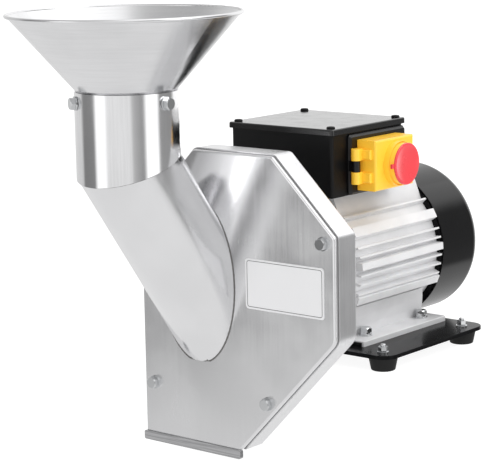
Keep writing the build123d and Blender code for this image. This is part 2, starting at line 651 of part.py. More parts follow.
def fan_cowl():
    """Pressed cover over the fan, with a rounded rear edge and ring-shaped air slots."""
    bend = COWL_BEND
    outer = make_face(
        Polyline((0, COWL_Y0), (COWL_R, COWL_Y0), (COWL_R, COWL_Y1 - bend))
        + RadiusArc((COWL_R, COWL_Y1 - bend), (COWL_R - bend, COWL_Y1), -bend)
        + Polyline((COWL_R - bend, COWL_Y1), (0, COWL_Y1), (0, COWL_Y0)))
    inner_r, inner_y, inner_bend = COWL_R - COWL_WALL, COWL_Y1 - COWL_WALL, bend - COWL_WALL
    inner = make_face(
        Polyline((0, COWL_Y0 - 1), (inner_r, COWL_Y0 - 1), (inner_r, inner_y - inner_bend))
        + RadiusArc((inner_r, inner_y - inner_bend), (inner_r - inner_bend, inner_y), -inner_bend)
        + Polyline((inner_r - inner_bend, inner_y), (0, inner_y), (0, COWL_Y0 - 1)))
    cowl = revolve(outer, Axis.Y) - below(COWL_FLAT_Z)
    cowl -= revolve(inner, Axis.Y) - below(COWL_FLAT_Z + COWL_WALL)
    slots = Sketch()
    for radius in (16, 25, 34, 43, 52):
        slots += Circle(radius + 2.4) - Circle(radius - 2.4)
    for turn in (0, 60, 120):
        slots -= Rot(0, 0, turn) * Rectangle(140, 7)
    cowl -= along_y(slots, inner_y - 1, COWL_Y1 + 1)
    for angle in COWL_SCREW_ANGLES:
        cowl -= Rot(0, -angle, 0) * rod_x(2.3, 70, 75, FRAME_Y1 + 10, 0)
    return cowl


def cowl_screws():
    screws = []
    for angle in COWL_SCREW_ANGLES:
        head = Pos(COWL_R, FRAME_Y1 + 10, 0) * Rot(0, 90, 0) * dome_head(3.6, 2.2, 7.5, 1.95)
        screws.append(Rot(0, -angle, 0) * head)
    return screws


def dome_head(head_r, head_tall, length, radius):
    """A pan-head cross-slot screw: head above z = 0, shank below."""
    head = fillet(rod_z(head_r, 0, head_tall).edges().sort_by(Axis.Z)[-1], head_tall * 0.6)
    screw = head + rod_z(radius, -length, 0)
    for turn in (0, 90):
        slot = Pos(0, 0, head_tall) * Rot(0, 0, turn) * Box(head_r * 1.1, head_r * 0.24, 1.8)
        screw -= slot
    return screw


# ---- knives on the shaft

def cutter_hub():
    """Sleeve keyed to the motor shaft, with a threaded stub that carries the knives."""
    hub = turned_y([(0, STUB_END), (STUB_R - 0.8, STUB_END), (STUB_R, STUB_END + 0.8),
                    (STUB_R, HUB_Y0), (HUB_R, HUB_Y0), (HUB_R, HUB_Y1), (SHAFT_END_R, HUB_Y1),
                    (SHAFT_END_R, SHAFT_FRONT), (0, SHAFT_FRONT)])
    hub -= block(-KEY_HALF, KEY_HALF, SHAFT_FRONT, HUB_Y1 + 1, 0, KEY_TOP)
    hub -= rod_x(SET_SCREW_R, 0, HUB_R + 1, SET_SCREW_Y, 0)
    for x in (-PIN_X, PIN_X):
        hub -= rod_y(PIN_R, HUB_Y0 - 1, HUB_Y0 + 6, x, 0)
    return hub


def hub_set_screw():
    """Grub screw through the hub onto the shaft."""
    screw = rod_x(SET_SCREW_R - FIT, SHAFT_END_R + FIT, HUB_R - 0.6, SET_SCREW_Y, 0)
    socket = along_x(Pos(SET_SCREW_Y, 0) * hexagon(2.5), HUB_R - 3, HUB_R)
    return screw - socket


def drive_pins():
    """Two dowels that key both knives to the hub."""
    return [rod_y(PIN_R, HUB_Y0 - 2 * KNIFE_THICK, HUB_Y0 + 6, x, 0) for x in (-PIN_X, PIN_X)]


def knife_bar(y0, turn):
    """Double-ended knife: pointed tips and a saw-toothed leading edge at each end."""
    half, tip = KNIFE_WIDE / 2, KNIFE_TIP_R
    blank = polygon([(-tip, half), (-tip + 16, half), (tip - 12, half), (tip, half - 12),
                     (tip, -half), (tip - 16, -half), (-tip + 12, -half), (-tip, -half + 12)])
    blank &= Circle(tip)
    pitch, deep = 8.0, 4.5
    for number in range(7):
        x = 24 + pitch * number
        tooth = polygon([(x, half + 1), (x + 1, half - deep), (x + pitch, half + 1)])
        blank -= tooth
        blank -= Rot(0, 0, 180) * tooth
    blank -= Circle(STUB_R)
    for angle in (0, 180):
        blank -= Rot(0, 0, angle - turn) * (Pos(PIN_X, 0) * Circle(PIN_R))
    return along_y(Rot(0, 0, turn) * blank, y0, y0 + KNIFE_THICK)


def knife_nut():
    """Thin lock nut and the washer under it."""
    front = HUB_Y0 - 2 * KNIFE_THICK
    washer = along_y(Circle(13.0) - Circle(STUB_R), front - 1.5, front)
    lock = along_y(hexagon(19.0) - Circle(STUB_R), front - 7.5, front - 1.5)
    return [washer, lock]


# ---- control box

def box_screw_places():
    return [(x, y) for x in (-22, 22) for y in (105, 165)]


def control_box():
    """Moulded box with corner posts, a window for the switch and a hole for the cable gland."""
    box = along_z(round_rect(-BOX_X, BOX_X, BOX_Y0, BOX_Y1, 3.0), BOX_Z0, BOX_Z1)
    inside = round_rect(-BOX_X + BOX_WALL, BOX_X - BOX_WALL, BOX_Y0 + BOX_WALL,
                        BOX_Y1 - BOX_WALL, 2.0)
    box -= along_z(inside, BOX_Z0 + BOX_WALL, BOX_Z1 + 1)
    for x, y in LID_SCREWS:
        box += rod_z(4.4, BOX_Z0 + 1, BOX_Z1, x, y)
    for x, y in LID_SCREWS:
        box -= rod_z(1.6, BOX_Z0 + 35, BOX_Z1 + 1, x, y)
    for x, y in box_screw_places():
        box -= rod_z(2.7, BOX_Z0 - 1, BOX_Z0 + BOX_WALL + 1, x, y)
    box -= along_x(switch_window(0.2), BOX_X - BOX_WALL - 3, BOX_X + 1)
    box -= rod_x(GLAND_THREAD_R + 0.2, -BOX_X - 1, -BOX_X + BOX_WALL + 1, GLAND_Y, GLAND_Z)
    return box - rod_z(9.0, BOX_Z0 - 1, BOX_Z0 + BOX_WALL + 1, 0, 135)


def switch_window(clear):
    return rect(106 - clear, 156 + clear, 80 - clear, 114 + clear)


def box_gasket():
    outer = round_rect(-BOX_X + 0.3, BOX_X - 0.3, BOX_Y0 + 0.3, BOX_Y1 - 0.3, 2.6)
    inner = round_rect(-BOX_X + 2.8, BOX_X - 2.8, BOX_Y0 + 2.8, BOX_Y1 - 2.8, 2.0)
    return along_z(outer - inner, BOX_Z1, BOX_Z1 + 1.4)


def box_lid():
    """Shallow lid whose rim hangs over the top of the box."""
    lid = along_z(round_rect(-LID_X, LID_X, LID_Y0, LID_Y1, 3.5), LID_Z0, LID_Z1)
    lid = fillet(lid.edges().group_by(Axis.Z)[-1], 1.6)
    lid -= along_z(round_rect(-BOX_X - 0.3, BOX_X + 0.3, BOX_Y0 - 0.3, BOX_Y1 + 0.3, 3.2),
                   LID_Z0 - 1, BOX_Z1 + 1.4)
    for x, y in LID_SCREWS:
        lid -= rod_z(2.2, LID_Z0 - 1, LID_Z1 + 1, x, y)
    return lid


def lid_screws():
    return [Pos(x, y, LID_Z1) * dome_head(3.9, 2.0, 18.0, 1.55) for x, y in LID_SCREWS]


def box_screws():
    seat = BOX_Z0 + BOX_WALL
    return [Pos(x, y, seat) * dome_head(4.4, 2.8, 11.0, 2.45) for x, y in box_screw_places()]


def capacitor():
    """Run capacitor lying along the box, with two blade terminals."""
    x, z = CAPACITOR_X, BOX_Z0 + BOX_WALL + 1.5 + CAPACITOR_R
    can = rod_y(CAPACITOR_R, 82, 138, x, z)
    can = fillet(can.edges().filter_by(GeomType.CIRCLE), 1.5)
    for side in (-5, 5):
        can += block(x + side - 0.4, x + side + 0.4, 137, 148, z - 3.1, z + 3.1)
    return can


def capacitor_clip():
    """Sheet-metal clip that holds the capacitor to the box floor."""
    x, floor = CAPACITOR_X, BOX_Z0 + BOX_WALL
    z = floor + 1.5 + CAPACITOR_R
    band = Pos(x, z) * (Circle(CAPACITOR_R + 1.2) - Circle(CAPACITOR_R))
    band -= rect(x - 8, x + 8, z, z + 30)
    band += rect(x - 12, x + 12, floor, floor + 1.4)
    band -= Pos(x, z) * Circle(CAPACITOR_R)
    return along_y(band, 118, 130)


def terminal_block():
    """Four-way screw terminal strip on the box floor."""
    floor = BOX_Z0 + BOX_WALL
    strip = block(-10, 10, 80, 124, floor, floor + 16)
    for number in range(4):
        y = 85.5 + 11 * number
        strip -= rod_x(2.4, -11, 11, y, floor + 5)
        strip -= rod_z(2.6, floor + 9, floor + 17, -5, y)
        strip -= rod_z(2.6, floor + 9, floor + 17, 5, y)
    return strip


def cable_gland():
    """Cable gland on the left wall: flange, domed cap and a lock nut inside the wall."""
    wall = -BOX_X
    body = rod_x(GLAND_THREAD_R, wall - 1, wall + 14, GLAND_Y, GLAND_Z)
    body += along_x(Pos(GLAND_Y, GLAND_Z) * hexagon(22.0), wall - 6, wall)
    body += rod_x(9.5, wall - 20, wall - 6, GLAND_Y, GLAND_Z)
    body = fillet(body.edges().group_by(Axis.X)[0], 3.5)
    body -= rod_x(GLAND_BORE_R, wall - 25, wall + 20, GLAND_Y, GLAND_Z)
    inside = wall + BOX_WALL
    ring = along_x(Pos(GLAND_Y, GLAND_Z) * (hexagon(20.0) - Circle(GLAND_THREAD_R)), inside,
                   inside + 4)
    return [body, ring]


# ---- safety switch on the right wall

def switch_panel():
    """Raised, bevelled mounting frame on the box wall, with the fixed hinge knuckle."""
    plan = round_rect(SWITCH_Y0, SWITCH_Y1, SWITCH_Z0, SWITCH_Z1, 4.0)
    panel = along_x(plan, BOX_X, PANEL_FACE)
    panel = chamfer(panel.faces().sort_by(Axis.X)[-1].edges(), 2.4)
    panel -= along_x(switch_window(0.2), BOX_X - 1, PANEL_FACE + 1)
    low, high = KNUCKLES[0][1] + 0.4, KNUCKLES[1][0] - 0.4
    panel += rod_z(KNUCKLE_R - 0.3, low, high, HINGE_X, HINGE_Y)
    panel += block(PANEL_FACE - 3, HINGE_X, HINGE_Y - 1.8, HINGE_Y + 2.2, low, high)
    return panel - rod_z(HINGE_PIN_R, low - 10, high + 10, HINGE_X, HINGE_Y)


def button_pocket(y0, y1, clear):
    return rect(y0 - clear, y1 + clear, BUTTON_Z - BUTTON_HALF_TALL - clear,
                BUTTON_Z + BUTTON_HALF_TALL + clear)


def switch_body():
    """Switch module pushed through the window, with a pocket for each button."""
    body = along_x(switch_window(0), 26, PANEL_FACE)
    body -= along_x(button_pocket(START_Y0, START_Y1, 0.4), 50, PANEL_FACE + 1)
    return body - along_x(button_pocket(STOP_Y0, STOP_Y1, 0.4), 50, PANEL_FACE + 1)


def button(y0, y1):
    key = along_x(button_pocket(y0, y1, 0), 54, 66)
    return fillet(key.edges().group_by(Axis.X)[-1], 1.0)


def hinge_pin():
    return rod_z(HINGE_PIN_R, KNUCKLES[0][0] + 1.8, KNUCKLES[1][1] - 1.8, HINGE_X, HINGE_Y)


def flap_arms():
    """Two hinge knuckles on the flap's front side, each with an arm along that side."""
    arms = []
    for z0, z1 in KNUCKLES:
        arm = rod_z(KNUCKLE_R, z0, z1, HINGE_X, HINGE_Y)
        arm += block(HINGE_X - 3.0, HINGE_X + 3.6, HINGE_Y, FLAP_Y0 + 1.5, z0, z1)
        strap = block(HINGE_X + 2.4, 79.0, FLAP_Y0 - 3.4, FLAP_Y0 + 0.5, z0 + 1.0, z1 - 1.0)
        arms.append(arm + fillet(strap.faces().sort_by(Axis.Y)[0].edges(), 1.2))
    return arms


def switch_flap():
    """Hinged yellow cover: a hollow shell with a ring round the mushroom and two hinge arms."""
    shell = block(FLAP_X0, FLAP_X1, FLAP_Y0, FLAP_Y1, FLAP_Z0, FLAP_Z1)
    shell = fillet(shell.faces().sort_by(Axis.X)[-1].edges(), FLAP_ROUND)
    for z in (FLAP_Z0, FLAP_Z1):
        shell -= block(73.4, 74.6, FLAP_Y0 - 1, FLAP_Y1 + 1, z - 0.6, z + 0.6)
    shell -= block(FLAP_X0 - 1, FLAP_X1 - FLAP_WALL, FLAP_Y0 + 2, FLAP_Y1 - 2, FLAP_Z0 + 2,
                   FLAP_Z1 - 2)
    ring = rod_x(COLLAR_RING_R, FLAP_X1 - 1, COLLAR_RING_TOP, BUTTON_Y, BUTTON_Z)
    shell += fillet(ring.edges().group_by(Axis.X)[-1], 0.3)
    shell += rod_x(POCKET_R + 1.4, POCKET_BACK, FLAP_X1 - 1, BUTTON_Y, BUTTON_Z)
    shell -= rod_x(POCKET_R, POCKET_FLOOR, COLLAR_RING_TOP + 1, BUTTON_Y, BUTTON_Z)
    shell -= rod_x(STEM_R + FIT, POCKET_BACK - 1, POCKET_FLOOR + 1, BUTTON_Y, BUTTON_Z)
    for arm in flap_arms():
        shell += arm
    return shell - rod_z(HINGE_PIN_R + FIT, KNUCKLES[0][0] + 1.4, KNUCKLES[1][1] - 1.4, HINGE_X,
                         HINGE_Y)


def mushroom_skirt():
    """Yellow collar under the red disc; it slides in the flap's ring."""
    tip = MUSHROOM_BACK - SKIRT_FOOT
    skirt = Pos(0, 0, tip / 2) * Cone(SKIRT_R, SKIRT_TIP_R, tip) - Cylinder(SKIRT_BORE_R, 3 * tip)
    return Pos(SKIRT_FOOT, BUTTON_Y, BUTTON_Z) * Rot(0, 90, 0) * skirt


def stop_mushroom():
    """Red push disc with a dished face and a pointer, on a stem that slides through the flap."""
    disc = rod_x(MUSHROOM_R, MUSHROOM_BACK, MUSHROOM_FACE, BUTTON_Y, BUTTON_Z)
    disc = fillet(disc.edges().group_by(Axis.X)[-1], 0.8)
    disc += rod_x(CORE_R, CORE_BACK, MUSHROOM_BACK + 0.2, BUTTON_Y, BUTTON_Z)
    disc -= Pos(MUSHROOM_FACE - DISH_DEEP + DISH_R, BUTTON_Y, BUTTON_Z) * Sphere(DISH_R)
    root_y = BUTTON_Y - MUSHROOM_R
    tip_y = root_y - POINTER_LONG
    for x0, x1, end_y in ((MUSHROOM_BACK, MUSHROOM_FACE - 0.8, root_y + 1.5),
                          (MUSHROOM_BACK - 1, MUSHROOM_BACK + 0.2, root_y - 0.1)):
        disc += block(x0, x1, tip_y, end_y, POINTER_Z0, POINTER_Z1)
    stem = rod_x(STEM_R, STEM_END, CORE_BACK + 0.2, BUTTON_Y, BUTTON_Z)
    catch = rod_x(STEM_R + 2, CATCH_X0, CATCH_X1, BUTTON_Y, BUTTON_Z)
    return disc + stem + catch


def mushroom_spring():
    """Return spring around the stem, from the floor of the flap's pocket to the disc."""
    start = POCKET_FLOOR + SPRING_WIRE
    end = CORE_BACK - SPRING_WIRE - 0.1
    coil = Helix(pitch=2.6, height=end - start, radius=SPRING_R)
    section = Plane(origin=coil @ 0, z_dir=coil % 0) * Circle(SPRING_WIRE)
    spring = sweep(section, path=coil, is_frenet=True)
    return Pos(start, BUTTON_Y, BUTTON_Z) * Rot(0, 90, 0) * spring


# ---- base

def pad_places():
    return [(side * PAD_SPAN_X / 2, y) for side in (-1, 1)
            for y in (PAD_FRONT_Y, PAD_FRONT_Y + PAD_SPAN_Y)]


def base_plate():
    top = -FRAME_HEIGHT
    plate = along_z(round_rect(-BASE_X / 2, BASE_X / 2, BASE_Y0, BASE_Y1, BASE_CORNER),
                    top - BASE_THICK, top)
    plate = fillet(plate.edges().group_by(Axis.Z)[-1], 0.8)
    for x, y in motor_bolt_places():
        plate -= rod_z(FOOT_BOLT_HOLE, top - 5, top + 1, x, y)
    for x, y in pad_places():
        plate -= rod_z(M5_HOLE, top - 5, top + 1, x, y)
    return plate


def rubber_feet():
    """Four tapered rubber feet: a socket underneath, and a bore above it for the screw's head."""
    top = -FRAME_HEIGHT - BASE_THICK
    low = top - FOOT_TALL
    feet = []
    for x, y in pad_places():
        foot = Pos(x, y, low + FOOT_TALL / 2) * Cone(PAD_LOW_R, PAD_TOP_R, FOOT_TALL)
        foot = fillet(foot.edges().group_by(Axis.Z)[0], 1.2)
        foot -= rod_z(RECESS_R, low - 1, low + RECESS_DEEP, x, y)
        foot -= rod_z(SCREW_BORE_R, low, low + SCREW_SEAT, x, y)
        feet.append(foot - rod_z(M5_HOLE, low, top + 1, x, y))
    return feet


def foot_screws():
    """Socket-head screws that pass up through the rubber feet and the plate."""
    seat = -SHAFT_HEIGHT + SCREW_SEAT
    end = -FRAME_HEIGHT + SMALL_WASHER + M5_NUT + 2.4
    screws = []
    for x, y in pad_places():
        head = rod_z(4.4, seat - 3.4, seat, x, y)
        head -= along_z(Pos(x, y) * hexagon(4.0), seat - 4, seat - 1.6)
        shank = rod_z(M5_R - FIT, seat, end, x, y)
        screws.append(head + chamfer(shank.edges().group_by(Axis.Z)[-1], 0.6))
    return screws


def foot_nuts():
    top = -FRAME_HEIGHT
    pieces = []
    for number, (x, y) in enumerate(pad_places()):
        ring = Circle(SMALL_WASHER_R) - Circle(M5_R)
        pieces.append(along_z(Pos(x, y) * ring, top, top + SMALL_WASHER))
        turned = Pos(x, y, top + SMALL_WASHER) * Rot(0, 0, 20 + 13 * number)
        pieces.append(turned * nut(M5_AF, M5_NUT, M5_R))
    return pieces


def build():
    os.makedirs("parts", exist_ok=True)
    write("housing_shell", housing_shell())
    write("housing_cover", housing_cover())
    write("cover_gasket", cover_gasket())
    write("cover_pillars", cover_pillars())
    write("cover_bolts", cover_bolts())
    write("outlet_lip", outlet_lip())
    write("name_plate", name_plate())
    write("feed_tube", feed_tube())
    write("feed_collar", feed_collar())
    write("hopper", hopper())
    write("hopper_bolts", hopper_bolts())
    write("hopper_nuts", hopper_nuts())
    write("motor_adapter", motor_adapter())
    write("adapter_screws", housing_screws() + adapter_screws())
    write("shaft_seal", shaft_seal())
    write("front_endshield", front_endshield())
    write("motor_frame", motor_frame())
    write("rear_endshield", rear_endshield())
    write("tie_bolts", tie_bolts())
    write("motor_foot_bolts", motor_foot_bolts())
    bearings = (FRONT_BEARING_Y, REAR_BEARING_Y)
    write("bearing_outer_rings", [bearing_rings(y, inner=False) for y in bearings])
    write("bearing_inner_rings", [bearing_rings(y, inner=True) for y in bearings])
    write("bearing_balls", bearing_balls())
    write("stator_core", stator_core())
    write("stator_winding", stator_winding())
    write("motor_shaft", motor_shaft())
    write("rotor_core", rotor_core())
    write("shaft_key", shaft_key())
    write("cooling_fan", cooling_fan())
    write("fan_circlip", fan_circlip())
    write("fan_cowl", fan_cowl())
    write("cowl_screws", cowl_screws())
    write("cutter_hub", cutter_hub())
    write("hub_set_screw", hub_set_screw())
    write("drive_pins", drive_pins())
    write("knife_bar_rear", knife_bar(HUB_Y0 - KNIFE_THICK, 35))
    write("knife_bar_front", knife_bar(HUB_Y0 - 2 * KNIFE_THICK, 125))
    write("knife_nut", knife_nut())
    write("control_box", control_box())
    write("box_gasket", box_gasket())
    write("box_lid", box_lid())
    write("lid_screws", lid_screws())
    write("box_screws", box_screws())
    write("capacitor", capacitor())
    write("capacitor_clip", capacitor_clip())
    write("terminal_block", terminal_block())
    write("cable_gland", cable_gland())
    write("switch_panel", switch_panel())
    write("switch_body", switch_body())
    write("start_button", button(START_Y0, START_Y1))
    write("stop_button", button(STOP_Y0, STOP_Y1))
    write("hinge_pin", hinge_pin())
    write("switch_flap", switch_flap())
    write("stop_mushroom", stop_mushroom())
    write("mushroom_skirt", mushroom_skirt())
    write("mushroom_spring", mushroom_spring())
    write("base_plate", base_plate())
    write("rubber_feet", rubber_feet())
    write("foot_screws", foot_screws())
    write("foot_nuts", foot_nuts())


if __name__ == "__main__":
    build()
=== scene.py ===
import json
import math
import bmesh
import bpy
from mathutils import Matrix, Vector, geometry


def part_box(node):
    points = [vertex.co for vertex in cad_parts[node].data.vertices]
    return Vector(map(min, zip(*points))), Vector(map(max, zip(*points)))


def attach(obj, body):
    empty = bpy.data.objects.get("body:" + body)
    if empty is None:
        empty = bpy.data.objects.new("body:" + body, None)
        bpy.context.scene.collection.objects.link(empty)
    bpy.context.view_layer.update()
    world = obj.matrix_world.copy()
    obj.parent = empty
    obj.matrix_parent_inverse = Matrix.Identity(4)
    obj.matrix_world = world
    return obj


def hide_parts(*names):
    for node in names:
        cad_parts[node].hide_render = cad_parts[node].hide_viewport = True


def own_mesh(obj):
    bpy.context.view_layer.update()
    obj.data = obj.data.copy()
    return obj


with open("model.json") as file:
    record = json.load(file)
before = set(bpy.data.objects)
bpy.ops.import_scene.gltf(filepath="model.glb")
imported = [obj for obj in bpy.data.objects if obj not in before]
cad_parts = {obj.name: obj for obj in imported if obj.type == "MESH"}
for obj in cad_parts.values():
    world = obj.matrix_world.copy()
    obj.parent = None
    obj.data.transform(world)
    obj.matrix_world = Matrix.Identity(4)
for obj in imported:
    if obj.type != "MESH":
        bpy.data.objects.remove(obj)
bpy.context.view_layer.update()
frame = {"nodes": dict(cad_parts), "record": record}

# ---- driving values, in metres and degrees
CAMERA_PLACE = Vector((1.0959, -1.4576, 0.4373))
CAMERA_AZIMUTH, CAMERA_ELEVATION, CAMERA_ROLL = 39.88, 10.20, -1.11
CAMERA_LENS, CAMERA_SENSOR = 145.4, 36.0             # these two in millimetres
KEY_PLACE, KEY_AIM = (1.6, 0.4, 1.9), (0, 0, 0.1)
KEY_SIZE, KEY_POWER = 1.2, 9.0                       # across, and in watts
BENCH_EDGE_BACK, BENCH_EDGE_FRONT = -0.084, -0.121   # the bench top rounds over between these
BENCH_DROP = 0.090                                   # how far the floor in front lies below it
BENCH_STEPS = 24                                     # strips that the rounded edge is made of
FLOOR_REACH = 12.0
SPRING_WIRE, SPRING_PITCH = 0.0006, 0.0026           # the return spring's wire radius, its pitch
COIL_STEPS = 40                                      # points on each turn of the spring
TUBE_WELD, MITRE_WELD = 0.0008, 0.0007               # radii of the two beads
WELD_STEPS = 260                                     # points round a bead
WELD_RIPPLE, RIPPLE_TURN = 0.10, 1.7                 # share of the radius, radians for each point
FOOT_DEPTH = 0.0002                                  # the tube's foot is this near its back end
BORDER_INSET, BORDER_CORNER = 0.0020, 0.0022         # the name plate's printed line
BORDER_LINE = 0.00022                                # its radius
CORNER_STEPS = 8                                     # runs in each of its corners

# Studio surround. Each list goes round the compass, from -180 to 180 degrees with 0 in front of
# the object and 90 on its switch side, and gives the brightness seen that way. SURROUND holds
# round the horizon; the other three take over between the heights (sine of the elevation) given
# with them.
SURROUND = [
    (-180, 1.25), (-155, 1.20), (-128, 0.95), (-112, 0.78), (-76, 0.74), (-68, 0.24), (-36, 0.27),
    (-28, 1.40), (-8, 1.35), (-2, 0.88), (48, 0.88), (56, 0.50), (78, 0.30), (86, 1.50),
    (110, 1.50), (118, 0.34), (156, 0.32), (166, 1.25), (180, 1.25),
]
HIGH = [(-180, 1.30), (-120, 0.90), (-80, 0.55), (0, 0.65), (40, 1.20), (110, 1.40), (180, 1.50)]
HIGH_BAND = (0.34, 0.53)
LOW = [(-180, 0.85), (-36, 0.85), (-24, 0.95), (94, 0.90), (110, 0.34), (156, 0.34), (168, 0.85),
       (180, 0.85)]
LOW_BAND = (-0.19, -0.29)
GROUND = [(-180, 1.05), (-150, 0.90), (136, 0.90), (160, 1.05), (180, 1.05)]
GROUND_BAND = (-0.38, -0.46)
RAMP_GAIN = 2.0      # a ramp holds each level divided by this, which keeps it below 1

STAINLESS = (0.80, 0.80, 0.81)
PAINTED_WARM_GLOW = (1.0, 0.30, 0.0, 1.0)    # the colour of the painted glow: warm light the plastic gives off by itself


# ---- node helpers

class Tree:
    """A short way to write a node tree: every call adds one node and links or sets its inputs."""

    def __init__(self, owner):
        owner.use_nodes = True
        self.tree = owner.node_tree
        self.tree.nodes.clear()

    def add(self, kind, inputs=None, **settings):
        made = self.tree.nodes.new(kind)
        for key, value in settings.items():
            setattr(made, key, value)
        for key, value in (inputs or {}).items():
            if isinstance(value, bpy.types.NodeSocket):
                self.tree.links.new(value, made.inputs[key])
            else:
                made.inputs[key].default_value = value
        return made

    def maths(self, operation, *values):
        made = self.add("ShaderNodeMath", dict(enumerate(values)), operation=operation)
        return made.outputs[0]

    def spread(self, value, low, high, to_low=0.0, to_high=1.0):
        """Value from low..high carried onto to_low..to_high, clamped, with soft ends."""
        sockets = {0: value, 1: low, 2: high, 3: to_low, 4: to_high}
        return self.add("ShaderNodeMapRange", sockets, interpolation_type="SMOOTHSTEP").outputs[0]

    def level(self, value, to_low=0.0, to_high=1.0):
        """A noise, most of which lies between 0.3 and 0.7, carried onto to_low..to_high."""
        return self.spread(value, 0.3, 0.7, to_low, to_high)

    def blend(self, share, first, second):
        """A colour between first and second; sockets 6 and 7 are the Mix node's two colours."""
        made = self.add("ShaderNodeMix", {0: share, 6: first, 7: second}, data_type="RGBA")
        return made.outputs[2]


def grey(level):
    return (level, level, level, 1.0)


def shade(colour, by):
    return (colour[0] * by, colour[1] * by, colour[2] * by, 1.0)


# ---- materials

def noise(tree, scale, stretch=(1, 1, 1), detail=3.0):
    """Noise over the object's own space; stretch below 1 draws it out along that axis."""
    place = tree.add("ShaderNodeTexCoord").outputs["Object"]
    spread = tree.add("ShaderNodeMapping", {"Vector": place, "Scale": stretch}).outputs[0]
    sockets = {"Vector": spread, "Scale": scale, "Detail": detail}
    return tree.add("ShaderNodeTexNoise", sockets).outputs["Fac"]


def surface(name, metallic=0.0, specular=0.5, coat=0.0, coat_roughness=0.1):
    """A new material with its shader; the constants are set on the shader's own sockets."""
    material = bpy.data.materials.new(name)
    tree = Tree(material)
    sockets = {"Metallic": metallic, "Specular IOR Level": specular, "Coat Weight": coat,
               "Coat Roughness": coat_roughness}
    shader = tree.add("ShaderNodeBsdfPrincipled", sockets)
    tree.add("ShaderNodeOutputMaterial", {"Surface": shader.outputs[0]})
    return material, tree, shader


def finish(tree, shader, colour, roughness, *bumps):
    """Link colour, roughness and any (height, strength, distance) bumps to the shader."""
    tree.tree.links.new(colour, shader.inputs["Base Color"])
    tree.tree.links.new(roughness, shader.inputs["Roughness"])
    normal = None
    for height, strength, distance in bumps:
        sockets = {"Height": height, "Strength": strength, "Distance": distance}
        if normal:
            sockets["Normal"] = normal
        normal = tree.add("ShaderNodeBump", sockets).outputs[0]
    if normal:
        tree.tree.links.new(normal, shader.inputs["Normal"])


def steel(name, colour, roughness, grain=(1, 1, 0.02), lines=0.05, cloud=0.04, bump=0.02,
          wave=0.0, streak=0.0):
    """Metal with rolling lines, dark where streak is set, a cloudy tone and a slight wave."""
    material, tree, shader = surface(name, metallic=1.0)
    line = noise(tree, 900.0, grain, detail=4.0)
    haze = noise(tree, 14.0)
    tinted = tree.blend(tree.level(haze), shade(colour, 0.93), shade(colour, 1.0))
    dark_lines = tree.spread(line, 0.40, 0.62, 0.0, streak)
    tinted = tree.blend(dark_lines, tinted, shade(colour, 0.35))
    rough = tree.level(line, roughness - lines, roughness + lines)
    rough = tree.maths("ADD", rough, tree.level(haze, -cloud, cloud))
    swell = noise(tree, 9.0, detail=1.0)
    finish(tree, shader, tinted, rough, (swell, wave, 0.01), (line, bump, 0.0002))
    return material


def casting(name, colour, metallic, roughness, pit=0.25):
    """Sand-blasted casting: fine pitting and slightly uneven tone."""
    material, tree, shader = surface(name, metallic=metallic)
    grit = noise(tree, 1400.0, detail=5.0)
    haze = noise(tree, 30.0)
    tinted = tree.blend(tree.level(haze), shade(colour, 0.92), shade(colour, 1.0))
    rough = tree.level(grit, roughness - 0.08, roughness + 0.08)
    finish(tree, shader, tinted, rough, (grit, pit, 0.0003))
    return material


def plastic(name, colour, roughness, grain=0.10, coat=0.0, fade=0.90, specular=0.5, painted_glow=0.0):
    """Moulded plastic: fine grain, faint tone change, rub marks, and a painted glow, warm light
    given off by the surface itself.
    """
    material, tree, shader = surface(name, specular=specular, coat=coat)
    # Painted glow: warm emitted light that lifts the plastic's shaded sides.
    shader.inputs["Emission Color"].default_value = PAINTED_WARM_GLOW
    shader.inputs["Emission Strength"].default_value = painted_glow
    grit = noise(tree, 1800.0, detail=4.0)
    rub = noise(tree, 60.0, detail=6.0)
    haze = noise(tree, 20.0)
    tinted = tree.blend(tree.level(haze), shade(colour, fade), shade(colour, 1.0))
    rough = tree.spread(rub, 0.35, 0.75, roughness, roughness + 0.08)
    finish(tree, shader, tinted, rough, (grit, grain, 0.0002))
    return material


def paint(name, colour, roughness, peel, specular):
    """Stoved enamel: soft orange peel under a glossy face that is slightly uneven."""
    material, tree, shader = surface(name, specular=specular)
    ripple = noise(tree, 260.0, detail=2.0)
    dust = noise(tree, 35.0, detail=6.0)
    tinted = tree.blend(tree.spread(dust, 0.45, 0.8), shade(colour, 1.0), shade(colour, 1.3))
    rough = tree.spread(dust, 0.35, 0.8, roughness, roughness + 0.06)
    finish(tree, shader, tinted, rough, (ripple, peel, 0.0004))
    return material


def laminated(name, colour):
    """Stacked electrical-steel sheets, edge on: thin dark lines across the shaft."""
    material, tree, shader = surface(name, metallic=1.0)
    place = tree.add("ShaderNodeTexCoord").outputs["Object"]
    sockets = {"Vector": place, "Scale": 160.0}
    sheets = tree.add("ShaderNodeTexWave", sockets, bands_direction="Y").outputs["Fac"]
    tinted = tree.blend(sheets, shade(colour, 0.6), shade(colour, 1.0))
    rough = tree.spread(sheets, 0.0, 1.0, 0.55, 0.38)
    finish(tree, shader, tinted, rough, (sheets, 0.3, 0.0003))
    return material


def enamelled_wire(name, colour):
    """Wound copper wire: tight ridges that run along the coil sides."""
    material, tree, shader = surface(name, metallic=1.0, coat=0.8)
    wires = noise(tree, 1300.0, (1, 0.05, 1), detail=2.0)
    tinted = tree.blend(wires, shade(colour, 0.55), shade(colour, 1.0))
    rough = tree.level(wires, 0.4, 0.25)
    finish(tree, shader, tinted, rough, (wires, 0.6, 0.0006))
    return material


def floor_paper():
    """Pale seamless paper that glows enough to stay white in a white room."""
    material, tree, shader = surface("pale_paper")
    fibre = noise(tree, 90.0, detail=6.0)
    tinted = tree.blend(fibre, grey(0.24), grey(0.27))
    rough = tree.level(fibre, 0.85, 0.95)
    finish(tree, shader, tinted, rough)
    shader.inputs["Emission Color"].default_value = grey(1.0)
    shader.inputs["Emission Strength"].default_value = 0.92
    return material


